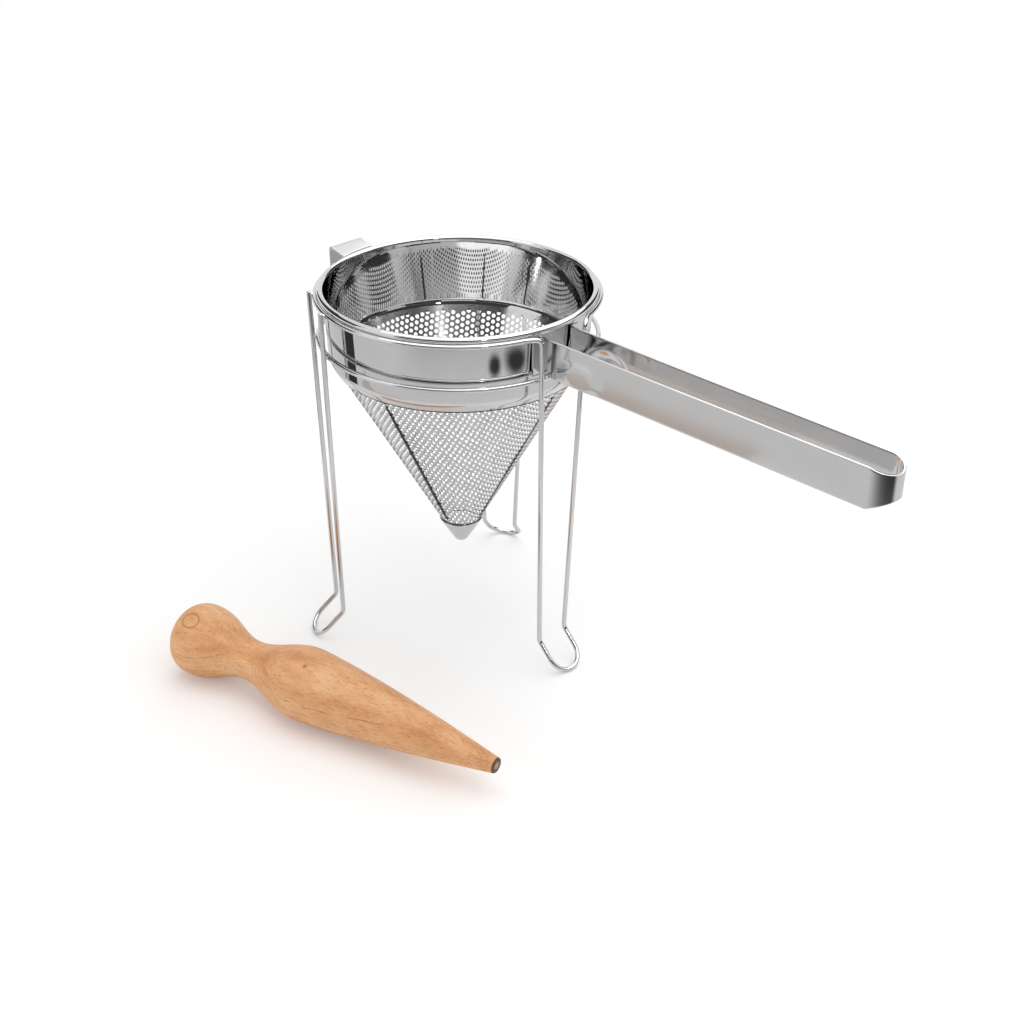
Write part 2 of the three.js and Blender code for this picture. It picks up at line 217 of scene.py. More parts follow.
def steel_finish(slot, lines, dull, bright, smoothest, roughest, relief, painted_shade_line=None):
    """Metal whose polish lines follow the first direction of its sheet, with slow clouds of wear over them.

    The painted shade line is a dark line between two lengths across the sheet, in millimetres, painted where
    shade falls."""
    material, shader, start = new_finish(slot, {"Metallic": 1.0})
    sheet = start.coordinates("UV")
    polish_lines = start.noise(sheet, lines)
    clouds = start.noise(sheet, cloud_stretch, detail=2.0)
    wear = polish_lines * line_share + clouds * (1.0 - line_share)
    colour = wear.mix((*dull, 1.0), (*bright, 1.0))
    # Painted shade: a dark line across the sheet stands in for the shade where the collar's skirt meets the
    # cone.
    if painted_shade_line:
        across = sheet.parts()[1]
        first, last = (
            across.step((edge - painted_shade_softness) * MM, (edge + painted_shade_softness) * MM) for edge in painted_shade_line)
        colour = (first - last).mix(colour, painted_shade_colour)
    colour.into(shader, "Base Color")
    (wear * (roughest - smoothest) + smoothest).into(shader, "Roughness")
    relief_inputs = {"Height": polish_lines, "Strength": relief, "Distance": relief_depth * MM}
    start.node("ShaderNodeBump", None, relief_inputs, out="Normal").into(shader, "Normal")
    return material


buffed = {
    "slot": "polished_steel", "lines": (14.0, 1500.0, 1.0), "dull": (0.57, 0.57, 0.575),
    "bright": (0.74, 0.74, 0.745), "smoothest": 0.01, "roughest": 0.05, "relief": 0.012,
}
polished_steel = steel_finish(**buffed)
perforated_steel = steel_finish(
    "perforated_steel", lines=(160.0, 900.0, 1.0), dull=(0.52, 0.52, 0.53), bright=(0.72, 0.72, 0.725),
    smoothest=0.09, roughest=0.20, relief=0.04)
handle_steel = steel_finish(
    "handle_steel", lines=(10.0, 1300.0, 1.0), dull=(0.58, 0.575, 0.575), bright=(0.75, 0.745, 0.745),
    smoothest=0.05, roughest=0.12, relief=0.03)
chromed_wire = steel_finish(
    "chromed_wire", lines=(30.0, 1100.0, 1.0), dull=(0.56, 0.57, 0.58), bright=(0.76, 0.77, 0.78),
    smoothest=0.04, roughest=0.11, relief=0.03)
print("steels:", [material.name for material in bpy.data.materials if "steel" in material.name])

# %% [markdown]
# ## Surfaces on grids
#
# Nearly every piece here is a surface over a grid: one direction runs along a profile or a wire, the
# other round it. Small functions number the grid's faces and lay the sheet's own measure on their
# corners, in metres, so that the polish lines keep their size on every piece. Two more seat a mesh, or
# a whole grid, in the frame.

# %% Grids and seats
weld_reach, sharp_angle = 0.0005, math.radians(38.0)


def cell_corners(rows, columns):
    """Row and column numbers of the four corners of each cell."""
    row, column = np.meshgrid(np.arange(rows), np.arange(columns), indexing="ij")
    return row[..., None] + np.array([0, 1, 1, 0]), column[..., None] + np.array([0, 0, 1, 1])


def grid_faces(rows, columns, wrap_rows=False, wrap_columns=False):
    """Corner numbers of a grid's four-sided faces; a wrapped direction joins its last line to its first."""
    row, column = cell_corners(
        rows if wrap_rows else rows - 1, columns if wrap_columns else columns - 1)
    return (row % rows * columns + column % columns).reshape(-1, 4)


def grid_sheet(row_measure, column_measure):
    """The sheet's measure at the corners of grid_faces: along the columns first, then along the rows."""
    row, column = cell_corners(len(row_measure) - 1, len(column_measure) - 1)
    return np.stack([column_measure[column], row_measure[row]], axis=-1).reshape(-1, 2) * MM


def lengths_along(points, closed=False):
    """Distance along a run of points, from 0 at the first; a closed run ends at the first point again."""
    run = np.concatenate([points, points[:1]]) if closed else points
    steps = np.linalg.norm(np.diff(run, axis=0), axis=1)
    return np.concatenate([[0.0], np.cumsum(steps)])


def full_turn(count):
    """Evenly spaced angles once round, in radians."""
    return np.linspace(0.0, 2 * math.pi, count, endpoint=False)


def at_height(plane_points, height):
    """Points of the plane lifted to one height."""
    return np.column_stack([plane_points, np.full(len(plane_points), height)])


def mesh_object(name, points, faces, finish):
    """An object with a mesh and a finish, from points in millimetres about the sieve's axis."""
    mesh = bpy.data.meshes.new(name)
    mesh.from_pydata(np.asarray(points, dtype=float).reshape(-1, 3) * MM + SIEVE_AXIS, [], faces)
    mesh.materials.append(finish)
    return linked(name, mesh)


def seat_piece(name, points, faces, sheet, finish, body, *nodes, weld=True):
    """Seats a mesh on a body in place of its solid nodes, with the sheet's measure on its corners."""
    piece = mesh_object(name, points, faces, finish)
    mesh = piece.data
    mesh.uv_layers.new(name="sheet").data.foreach_set("uv", np.asarray(sheet, np.float32).ravel())
    if weld:
        shape = bmesh.new()
        shape.from_mesh(mesh)
        bmesh.ops.remove_doubles(shape, verts=shape.verts, dist=weld_reach * MM)
        bmesh.ops.recalc_face_normals(shape, faces=shape.faces)
        shape.to_mesh(mesh)
        shape.free()
    mesh.shade_smooth()
    mesh.set_sharp_from_angle(angle=sharp_angle)
    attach(piece, body)
    if nodes:
        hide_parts(*nodes)
    print(name, "has", len(mesh.polygons), "faces on", body)
    return piece


def seat_grid(name, points, run, girth, finish, body, *nodes,
              wrap_rows=False, wrap_columns=True, lines_along_rows=False):
    """Seats one grid of points, or several equal ones, as a piece with its polish lines along one direction.

    The run is the measure along the rows. The girth is that of the columns, or the whole length round."""
    grids = points.reshape(-1, *points.shape[-3:])
    count, rows, columns = grids.shape[:3]
    if np.isscalar(girth):
        girth = np.linspace(0.0, girth, columns + 1)
    starts = np.arange(count)[:, None, None] * rows * columns
    faces = (grid_faces(rows, columns, wrap_rows, wrap_columns) + starts).reshape(-1, 4)
    sheet = np.tile(grid_sheet(run, girth), (count, 1))
    sheet = sheet[:, ::-1] if lines_along_rows else sheet
    return seat_piece(name, grids, faces, sheet, finish, body, *nodes)


# %% [markdown]
# ## Collar and rim wire
#
# The collar is a spun band: its wall leans in a little, turns at a soft shoulder into a short skirt
# that holds the cone, and its upper edge is rolled outwards over a wire. One middle line drawn in the
# plane, thickened to the sheet and turned about the axis, gives the whole piece, so the roll, wall and
# skirt can't drift apart.

# %% Turn the collar
rim_radius, rim_height = 88.0, 246.0
roll_radius, roll_sweep = 2.3, 285.0
collar_sheet, collar_depth, shoulder_radius = 0.9, 44.0, 84.6
shoulder_bend, skirt_drop = 10.0, 6.0
clearance = 0.3
cap_depth, cap_radius = 169.6, 15.2
roll_steps, wall_steps, shoulder_steps, skirt_steps = 32, 16, 12, 4
# Where the painted shade line at the skirt's lower edge starts above the edge and ends past it, in
# millimetres.
shade_line_above_edge, shade_line_past_edge = 1.1, 0.3
cone_slope = (shoulder_radius - cap_radius) / (cap_depth - collar_depth)
cone_tilt = math.atan(cone_slope)


def skirt_outside(depth):
    """Outside radius of the skirt's cone at a depth below the rim circle: straight to the cap's edge."""
    return shoulder_radius - cone_slope * (depth - collar_depth)


def arc(centre, radius, first, last, steps):
    """Points of a circle in the plane from one angle to another, in degrees."""
    angle = np.radians(np.linspace(first, last, steps + 1))
    return np.array(centre) + radius * np.stack([np.cos(angle), np.sin(angle)], axis=1)


def straight(first, last, steps):
    """Evenly spaced points from one place to another."""
    return np.linspace(first, last, steps + 1)


def unit(vectors):
    """The same directions with length one."""
    return vectors / np.linalg.norm(vectors, axis=-1, keepdims=True)


def rounded(before, corner, after, radius, steps):
    """The arc that rounds a corner between two straight runs and touches both of them."""
    back, ahead = unit(before - corner), unit(after - corner)
    middle, side = unit(back + ahead), unit(back - ahead)
    half = math.acos(np.clip(back @ ahead, -1.0, 1.0)) / 2
    angle = np.linspace(1.0, -1.0, steps + 1)[:, None] * (quarter_turn - half)
    centre = corner + middle * radius / math.sin(half)
    return centre - radius * np.cos(angle) * middle + radius * np.sin(angle) * side


def both_sides(half):
    """A path and its mirror image across the handle's line, joined at the path's last point."""
    mirror = np.array([1.0, -1.0, 1.0])[:half.shape[1]]
    return np.concatenate([half, half[-2::-1] * mirror])


def thickened(middle, thickness):
    """A closed outline of even thickness about a run in the plane: out on one side, back on the other."""
    along = unit(np.gradient(middle, axis=0))
    across = np.stack([-along[:, 1], along[:, 0]], axis=1) * thickness / 2
    return np.concatenate([middle + across, (middle - across)[::-1]])


def turned(profile, steps):
    """A profile of radii and heights carried round the axis, ring by ring."""
    turn = full_turn(steps)
    radius, height = profile[:, :1], np.repeat(profile[:, 1:], steps, axis=1)
    return np.stack([radius * np.cos(turn), radius * np.sin(turn), height], axis=-1)


def seat_turned(name, profile, steps, finish, node):
    """Turns a closed profile and seats it on the sieve."""
    run = lengths_along(profile, closed=True)
    girth = 2 * math.pi * profile[:, 0].max()
    seat_grid(name, turned(profile, steps), run, girth, finish, "sieve", node, wrap_rows=True)


round_steps = 192
roll_middle = roll_radius - collar_sheet / 2
wall_top = np.array([rim_radius - roll_middle, rim_height])
shoulder_corner = np.array([shoulder_radius - collar_sheet / 2, rim_height - collar_depth])
skirt_depth = collar_depth + skirt_drop
skirt_middle = skirt_outside(skirt_depth) - collar_sheet / 2 / math.cos(cone_tilt)
skirt_edge = np.array([skirt_middle, rim_height - skirt_depth])
shoulder = rounded(wall_top, shoulder_corner, skirt_edge, shoulder_bend - collar_sheet / 2, shoulder_steps)
collar_middle = np.concatenate([
    arc((rim_radius, rim_height), roll_middle, 180.0 - roll_sweep, 180.0, roll_steps),
    straight(wall_top, shoulder[0], wall_steps)[1:-1],
    shoulder,
    straight(shoulder[-1], skirt_edge, skirt_steps)[1:],
])
collar_outline = thickened(collar_middle, collar_sheet)
collar_edge = lengths_along(collar_outline)[len(collar_middle) - 1]
# The collar's finish carries painted shade along its lower edge, where the skirt meets the cone.
collar_steel = steel_finish(**buffed, painted_shade_line=(collar_edge - shade_line_above_edge, collar_edge + shade_line_past_edge))
seat_turned("collar_surface", collar_outline, round_steps, collar_steel, "collar")

rim_wire_radius, rim_wire_sides = roll_radius - collar_sheet - clearance, 12
rim_wire_outline = arc((rim_radius, rim_height), rim_wire_radius, 0.0, 360.0, rim_wire_sides)[:-1]
seat_turned("rim_wire_surface", rim_wire_outline, round_steps, polished_steel, "rim_wire")

# %% [markdown]
# ## Perforated cone
#
# The cone was cut from one flat perforated sheet and rolled up: the holes lie in straight rows of a
# triangular pattern on the flat sheet, and one row runs up the cone below the handle. So the pattern is
# laid out flat, as hexagonal cells with a round hole in each, and then rolled. Cells near the edges
# stay blank, every cell is trimmed to the sheet's outline, and the rims of the holes are closed between
# the outer and the inner face.

# %% Roll the perforated sheet
hole_pitch, hole_diameter, hole_sides = 4.17, 3.0, 12
cone_sheet, cone_tuck = 0.8, 2.5
plain_above, plain_below, seam_margin = 3.9, 1.6, 2.6
closing_turn, closing_gap = np.radians([215.0, 0.12])
smallest_triangle = 0.002
cone_gap = (collar_sheet + clearance) / math.cos(cone_tilt)
apex_depth = collar_depth + (shoulder_radius - cone_gap) / cone_slope
wall_tilt = math.atan((rim_radius - roll_radius + collar_sheet - shoulder_radius) / collar_depth)
shoulder_tangent = shoulder_bend * math.tan((cone_tilt - wall_tilt) / 2)
cone_top_depth = collar_depth + shoulder_tangent * math.cos(cone_tilt) + clearance
slant_top = (apex_depth - cone_top_depth) / math.cos(cone_tilt)
slant_bottom = (apex_depth - cap_depth - cone_tuck) / math.cos(cone_tilt)
sheet_middle_angle = (closing_turn - math.pi) * math.sin(cone_tilt)
sheet_half_angle = math.pi * math.sin(cone_tilt) - closing_gap
highest_hole = slant_top - plain_above
lowest_hole = (apex_depth - cap_depth + plain_below) / math.cos(cone_tilt)


def polar(points):
    """Distance from the middle and angle of flat points; on the sheet the distance is the slant."""
    return np.linalg.norm(points, axis=1), np.arctan2(points[:, 1], points[:, 0])


def sheet_cells():
    """Middles of the pattern's cells that reach the flat sheet, with the handle's row along +X."""
    reach = math.ceil(slant_top / hole_pitch) + 2
    along, across = np.meshgrid(np.arange(-2 * reach, 2 * reach), np.arange(-2 * reach, 2 * reach))
    middles = np.stack([along + across / 2, across * math.sqrt(3) / 2], axis=-1).reshape(-1, 2) * hole_pitch
    slant, angle = polar(middles)
    near = (slant > slant_bottom - hole_pitch) & (slant < slant_top + hole_pitch)
    near &= (np.abs(angle - sheet_middle_angle) - sheet_half_angle) * slant < hole_pitch
    return middles[near]


def around(middles, radius, first, count):
    """Points on a circle round each middle, from a first angle in degrees."""
    angle = math.radians(first) + full_turn(count)
    return middles[:, None] + radius * np.stack([np.cos(angle), np.sin(angle)], axis=1)


def perforated_sheet(middles, holed):
    """Flat points and triangles: a holed cell is a six-cornered ring about its hole, a blank one a fan."""
    corners = around(middles, hole_pitch / math.sqrt(3), 30.0, 6)
    hole_rims = around(middles[holed], hole_diameter / 2, 30.0, hole_sides)
    points = np.concatenate([corners.reshape(-1, 2), hole_rims.reshape(-1, 2), middles[~holed]])
    corner = np.arange(corners.shape[0] * 6).reshape(-1, 6)
    rim = np.arange(hole_rims.shape[0] * hole_sides).reshape(-1, hole_sides) + corner.size
    middle = np.arange(np.count_nonzero(~holed)) + corner.size + rim.size
    next_corner = np.roll(corner, -1, axis=1)
    first, between, last = rim[:, 0::2], rim[:, 1::2], np.roll(rim[:, 0::2], -1, axis=1)
    around_hole = [
        np.stack([corner[holed], next_corner[holed], between], axis=-1),
        np.stack([corner[holed], between, first], axis=-1),
        np.stack([next_corner[holed], last, between], axis=-1),
    ]
    fan_middle = np.repeat(middle[:, None], 6, axis=1)
    blank = np.stack([corner[~holed], next_corner[~holed], fan_middle], axis=-1)
    triangles = np.concatenate([part.reshape(-1, 3) for part in (*around_hole, blank)])
    kept, shared = np.unique(points.round(3), axis=0, return_index=True, return_inverse=True)[1:]
    return points[kept], shared.reshape(-1)[triangles]


def rolled(slant, angle, inwards):
    """Rolls the flat sheet: the flat angle spreads to the turn, and the slant becomes radius and height."""
    turn = angle / math.sin(cone_tilt)
    radius = slant * math.sin(cone_tilt) - inwards * math.cos(cone_tilt)
    depth = apex_depth - slant * math.cos(cone_tilt) - inwards * math.sin(cone_tilt)
    return np.stack([radius * np.cos(turn), radius * np.sin(turn), rim_height - depth], axis=-1)


cell_middles = sheet_cells()
cell_slant, cell_angle = polar(cell_middles)
cell_holed = (cell_slant < highest_hole) & (cell_slant > lowest_hole)
cell_holed &= (sheet_half_angle - np.abs(cell_angle - sheet_middle_angle)) * cell_slant > seam_margin
flat_points, triangles = perforated_sheet(cell_middles, cell_holed)

slant, angle = polar(flat_points)
slant = np.clip(slant, slant_bottom, slant_top)
from_middle = np.clip(angle - sheet_middle_angle, -sheet_half_angle, sheet_half_angle)
angle = sheet_middle_angle + from_middle
trimmed = np.stack([slant * np.cos(angle), slant * np.sin(angle)], axis=1)
sides = trimmed[triangles[:, 1:]] - trimmed[triangles[:, :1]]
areas = sides[:, 0, 0] * sides[:, 1, 1] - sides[:, 0, 1] * sides[:, 1, 0]
triangles = triangles[areas > smallest_triangle]

edges = triangles[:, [[0, 1], [1, 2], [2, 0]]].reshape(-1, 2)
edge_number, edge_uses = np.unique(
    np.sort(edges, axis=1), axis=0, return_inverse=True, return_counts=True)[1:]
rim_edges = edges[edge_uses[edge_number.reshape(-1)] == 1]
inner = len(trimmed)
rim_walls = np.concatenate([rim_edges, rim_edges[:, ::-1] + inner], axis=1)
cone_faces = [*triangles[:, ::-1].tolist(), *(triangles + inner).tolist(), *rim_walls.tolist()]
cone_points = np.concatenate([rolled(slant, angle, 0.0), rolled(slant, angle, cone_sheet)])
cone_corners = np.concatenate([triangles[:, ::-1].ravel(), triangles.ravel(), (rim_walls % inner).ravel()])
seat_piece(
    "perforated_cone_surface", cone_points, cone_faces, trimmed[cone_corners] * MM, perforated_steel,
    "sieve", "perforated_cone", weld=False)
print("holes in the cone:", np.count_nonzero(cell_holed))

# %% [markdown]
# ## Seam, painted shade lines and tip cap
#
# A rolled sheet has to close somewhere: the picture shows the pattern unbroken over the front and the
# far inside, so the closing seam is put out of sight at the back. Two dark lines run down the front of
# the cone from the collar to the cap; they are painted shade, drawn as narrow near-black beads like the
# seam, though the cone has no seam there. The tip of the cone is closed by a plain pressed cup with a
# small flat end and rounded edges.

# %% Close the cone
# The two front turns, at -79 and 7 degrees, carry painted shade lines where the cone has no seam; the
# closing turn carries the real seam.
seam_and_shade_line_turns = np.append(np.radians([-79.0, 7.0]), closing_turn)
# These sizes serve the closing seam and the two painted shade lines alike.
seam_width, seam_height, seam_girth = 3.8, 0.25, 5.0
seam_steps, seam_sides, seam_fullness = 90, 12, 10
gap_below_skirt, gap_above_cap = 0.5, 0.4
seam_low = (apex_depth - cap_depth + gap_above_cap) / math.cos(cone_tilt)
seam_high = (apex_depth - skirt_depth - gap_below_skirt) / math.cos(cone_tilt)
# A near-black finish: on the two front beads it is painted shade, and the closing seam at the back has it
# too.
seam_and_shade_line_steel = steel_finish(
    "perforated_steel", lines=(120.0, 500.0, 1.0), dull=(0.012, 0.012, 0.012), bright=(0.05, 0.048, 0.045),
    smoothest=0.30, roughest=0.50, relief=0.08)


def seam_and_shade_line_bead(turn):
    """A long flattened bead: along the slant by one parameter, and round a low oval by the other."""
    along = np.linspace(-1.0, 1.0, seam_steps)[:, None]
    run = seam_low + (seam_high - seam_low) * (along + 1.0) / 2
    fullness = np.sqrt(1.0 - along ** seam_fullness)
    round_it = full_turn(seam_sides)
    sideways = seam_width / 2 * fullness * np.cos(round_it)
    inwards = cone_sheet / 2 - (cone_sheet / 2 + seam_height) * fullness * np.sin(round_it)
    flat_angle = turn * math.sin(cone_tilt) + sideways / run
    return rolled(np.broadcast_to(run, flat_angle.shape), flat_angle, inwards)


# The closing seam and the two painted shade lines are seated as one piece.
seat_grid(
    "cone_seam_and_painted_shade_lines", np.stack([seam_and_shade_line_bead(turn) for turn in seam_and_shade_line_turns]),
    np.linspace(0.0, seam_high - seam_low, seam_steps), seam_girth, seam_and_shade_line_steel, "sieve",
    lines_along_rows=True)

cap_height, cap_face_radius = 17.6, 4.4
face_rounding, edge_rounding, lip_rounding = 0.9, 0.4, 0.2
cap_floor = cap_depth + cone_tuck + clearance
skirt_wall = collar_sheet / math.cos(cone_tilt)
cap_corners = np.array([
    [0.0, cap_depth + cap_height],
    [cap_face_radius, cap_depth + cap_height],
    [cap_radius, cap_depth],
    [skirt_outside(cap_depth) - skirt_wall, cap_depth],
    [skirt_outside(cap_floor) - skirt_wall, cap_floor],
    [0.0, cap_floor],
])
cap_corners[:, 1] = rim_height - cap_corners[:, 1]
cap_profile = np.concatenate([
    straight(cap_corners[0], cap_corners[1], 6)[:5],
    rounded(*cap_corners[0:3], face_rounding, 8),
    rounded(*cap_corners[1:4], edge_rounding, 6),
    rounded(*cap_corners[2:5], lip_rounding, 4),
    cap_corners[4:],
])
seat_turned("cone_tip_cap_surface", cap_profile, round_steps // 3, polished_steel, "cone_tip_cap")

# %% [markdown]
# ## Handle
#
# The handle is one flat strip on edge: from a foot on the collar it runs out straight, turns round a
# small radius at the far end, where it was drawn a little narrower, and comes back to a second foot.
# Near the collar each side carries a shallow pressed bulge that stiffens it. The section is a rectangle
# with rounded edges, carried along the path, and the bulge moves the whole thickness of the strip
# outwards.

# %% Bend the handle
handle_reach, handle_strip, handle_height, handle_drop = 328.5, 1.5, 24.4, 4.7
handle_root_half, handle_end_half, handle_tab, handle_root_bend = 12.4, 11.5, 7.0, 2.2
handle_end_drop, handle_end_rise = 3.2, 5.5
strip_edge_rounding = 0.5
bulge_middle, bulge_reach, bulge_depth, bulge_edge = (118.0, 6.5), (19.0, 12.5), 0.7, 0.55
foot_steps, root_steps, side_steps, end_steps, height_steps, corner_steps = 6, 8, 150, 24, 28, 4


def handle_path():
    """The strip's middle from above: foot, root bend, straight side, round end, and the same back."""
    wall_radius = rim_radius - roll_radius + collar_sheet - math.tan(wall_tilt) * handle_drop
    foot_radius = wall_radius + clearance + handle_strip / 2
    root_turn = math.asin(handle_root_half / foot_radius)
    root = foot_radius * direction(root_turn)[:2]
    foot_end = root + handle_tab * direction(root_turn + quarter_turn)[:2]
    end_middle = np.array([handle_reach - handle_strip / 2 - handle_end_half, 0.0])
    half_end = arc(end_middle, handle_end_half, 90.0, 0.0, end_steps)
    root_bend = rounded(foot_end, root, half_end[0], handle_root_bend, root_steps)
    side = np.concatenate([
        straight(foot_end, root_bend[0], foot_steps)[:-1],
        root_bend,
        straight(root_bend[-1], half_end[0], side_steps)[1:-1],
        half_end,
    ])
    return both_sides(side), end_middle


def strip_section(steps_up):
    """A tall rectangle with rounded corners: distances across the strip, heights from its lower edge."""
    half, low, high = handle_strip / 2, strip_edge_rounding, handle_height - strip_edge_rounding
    inner = half - strip_edge_rounding
    right = np.stack([np.full(steps_up, half), np.linspace(low, high, steps_up)], axis=1)
    left = right[::-1] * np.array([-1.0, 1.0])
    centres = ((inner, high), (-inner, high), (-inner, low), (inner, low))
    corners = [
        arc(centre, strip_edge_rounding, 90.0 * i, 90.0 * (i + 1), corner_steps)
        for i, centre in enumerate(centres)
    ]
    return np.concatenate([right, corners[0][1:], corners[1][:-1], left, corners[2][1:], corners[3][:-1]])


def bent_strip():
    """The section carried along the path, narrowed round the end and pushed outwards at the bulge."""
    path, end_middle = handle_path()
    section = strip_section(height_steps)
    along = unit(np.gradient(path, axis=0))
    outwards = np.stack([-along[:, 1], along[:, 0]], axis=1)
    from_end = path - end_middle
    share = np.clip(from_end[:, :1], 0.0, None) / np.linalg.norm(from_end, axis=1, keepdims=True)
    narrowed = 1.0 - (handle_end_drop + handle_end_rise) / handle_height * share
    height = handle_end_rise * share + section[:, 1] * narrowed
    from_bulge = (path[:, :1] - bulge_middle[0]) / bulge_reach[0]
    spread = np.hypot(from_bulge, (section[:, 1] - bulge_middle[1]) / bulge_reach[1])
    slope = np.clip((1.0 - spread) / bulge_edge, 0.0, 1.0)
    pushed = bulge_depth * slope ** 2 * (3.0 - 2.0 * slope)
    flat = path[:, None] + outwards[:, None] * (section[None, :, :1] + pushed[:, :, None])
    lower_edge = rim_height - handle_drop - handle_height
    points = np.concatenate([flat, (lower_edge + height)[:, :, None]], axis=2)
    first, last = points[:1].mean(axis=1, keepdims=True), points[-1:].mean(axis=1, keepdims=True)
    count = len(section)
    points = np.concatenate([np.repeat(first, count, axis=1), points, np.repeat(last, count, axis=1)])
    return points, path, section


strip_points, strip_path, section = bent_strip()
run = lengths_along(strip_path)
run = np.concatenate([run[:1], run, run[-1:]])
seat_grid(
    "handle_surface", strip_points, run, lengths_along(section, closed=True), handle_steel, "sieve",
    "handle", lines_along_rows=True)

# %% [markdown]
# ## Pot hook
#
# Across from the handle a short strap is welded to the roll: it rises a little outwards and turns down,
# so that the sieve can hang on the rim of a pot. Its middle surface is a grid that starts on the curve
# of the roll; the thickness and the softened edges are left to two modifiers, which suit a plain bent
# strap.

# %% Bend the pot hook
hook_offset, hook_width, hook_strip, hook_reach = 8.5, 26.0, 1.2, 15.0
hook_slope, hook_lip, hook_bend, hook_seat_angle = 0.24, 14.0, 2.4, math.radians(25.0)
hook_columns, hook_edge_rounding, hook_edge_angle = 27, 0.3, math.radians(50.0)


def strap_surface(columns):
    """The strap's middle: outwards by one parameter, across by the other, the rise added as a shear."""
    seat = roll_radius + clearance
    start = np.array([
        rim_radius + seat * math.cos(hook_seat_angle),
        rim_height + seat * math.sin(hook_seat_angle) + hook_strip / 2,
    ])
    corner = np.array([rim_radius + hook_reach, start[1]])
    end = corner - np.array([0.0, hook_lip])
    bend = rounded(start, corner, end, hook_bend, 10)
    line = np.concatenate([straight(start, bend[0], 10)[:-1], bend, straight(bend[-1], end, 10)[1:]])
    across = np.linspace(-hook_width / 2, hook_width / 2, columns) + hook_offset
    first_edge = np.sqrt(start[0] ** 2 - across ** 2) - start[0]
    fade = np.clip((bend[0, 0] - line[:, :1]) / (bend[0, 0] - start[0]), 0.0, 1.0)
    outwards = line[:, :1] + fade * first_edge
    height = line[:, 1:] + hook_slope * (outwards - start[0])
    sideways = np.repeat(across[None], len(line), axis=0)
    return np.stack([-outwards, -sideways, height], axis=-1), lengths_along(line), across


strap_points, strap_run, strap_across = strap_surface(hook_columns)
hook_piece = seat_grid(
    "pot_hook_surface", strap_points, strap_run, strap_across, handle_steel, "sieve", "pot_hook",
    wrap_columns=False)
thickness = hook_piece.modifiers.new("strap thickness", "SOLIDIFY")
thickness.thickness = hook_strip * MM
thickness.offset = 0.0
soft_edges = hook_piece.modifiers.new("soft edges", "BEVEL")
soft_edges.width = hook_edge_rounding * MM
soft_edges.segments = 3
soft_edges.limit_method = "ANGLE"
soft_edges.angle_limit = hook_edge_angle
soft_edges.harden_normals = True
print("strap", hook_width, "mm wide,", round(strap_run[-1], 1), "mm long")

# %% [markdown]
# ## Stand
#
# The stand is bent from round wire: an upper ring whose two ends turn down below the handle and make
# the front leg, a lower ring, and two hairpin legs welded outside both rings. Every wire is a circle
# carried along a path. One spoke of the circle points away from the stand's axis, which no wire here
# ever runs along, so the tubes don't twist. Where two wires cross, a small bead of weld joins them.

# %% Bend the wires
wire_radius, wire_sides = 1.6, 20
seat_angle, leg_spread = math.radians(50.0), 117.8
leg_top_half, leg_foot_half = 19.0, 12.0
foot_bend_radius, foot_bend_height, foot_reach, foot_bend = 88.4, 20.8, 107.3, 6.0
ring_bend, ring_run_out, leg_stub, wire_chamfer = 4.0, 6.0, 0.6, 0.3
bend_steps, loop_steps, leg_steps, half_ring_steps = 10, 20, 24, 110

seat_distance = roll_radius + wire_radius + clearance
upper_ring_radius = rim_radius + seat_distance * math.sin(seat_angle)
upper_ring_height = rim_height - seat_distance * math.cos(seat_angle)
lower_ring_height = rim_height - handle_drop - handle_height - clearance - wire_radius
leg_top_distance = upper_ring_radius + 2 * wire_radius + clearance
leg_top_radius = math.sqrt(leg_top_distance ** 2 - leg_top_half ** 2)


def leg_point(height, side):
    """A place on a leg wire: straight from its top, at the upper ring, to the foot bend."""
    share = (upper_ring_height - height) / (upper_ring_height - foot_bend_height)
    radius = leg_top_radius + (foot_bend_radius - leg_top_radius) * share
    half = leg_top_half + (leg_foot_half - leg_top_half) * share
    return np.array([radius, side * half, height])


def foot_half(above):
    """From the near foot bend out along a slope, and half way round the loop on the table."""
    tip = np.array([foot_reach, 0.0, wire_radius])
    heel = np.array([foot_bend_radius, 0.0, foot_bend_height])
    slope = unit(tip - heel)
    plane_loop = arc((0.0, 0.0), leg_foot_half, -90.0, 0.0, loop_steps)
    sideways = plane_loop[:, 1:] * np.array([0.0, 1.0, 0.0])
    loop = tip - slope * leg_foot_half + plane_loop[:, :1] * slope + sideways
    bend = rounded(above, leg_point(foot_bend_height, -1), loop[0], foot_bend, bend_steps)
    return np.concatenate([bend, loop])


def tube(path, closed):
    """A circle carried along a path, square to it; an open path ends in a small chamfer and a flat face."""
    if closed:
        along = unit(np.roll(path, -1, axis=0) - np.roll(path, 1, axis=0))
    else:
        along = unit(np.gradient(path, axis=0))
        chamfers = path[[0, -1]] + unit(path[[1, -2]] - path[[0, -1]]) * wire_chamfer
        path = np.concatenate([path[[0, 0]], chamfers[:1], path[1:-1], chamfers[1:], path[[-1, -1]]])
        along = along[np.clip(np.arange(len(path)) - 2, 0, len(along) - 1)]
    radius = np.full(len(path), wire_radius)
    if not closed:
        radius[[0, -1]] = 0.0
        radius[[1, -2]] -= wire_chamfer
    outwards = path * np.array([1.0, 1.0, 0.0])
    first = unit(np.cross(along, outwards))
    second = np.cross(first, along)
    turn = full_turn(wire_sides)[None, :, None]
    ring = np.cos(turn) * first[:, None] + np.sin(turn) * second[:, None]
    return path[:, None] + radius[:, None, None] * ring, lengths_along(path, closed)


def turned_by(points, degrees):
    """The same points turned about the stand's axis."""
    angle = math.radians(degrees)
    return points @ np.stack([direction(angle), direction(angle + quarter_turn), [0.0, 0.0, 1.0]])


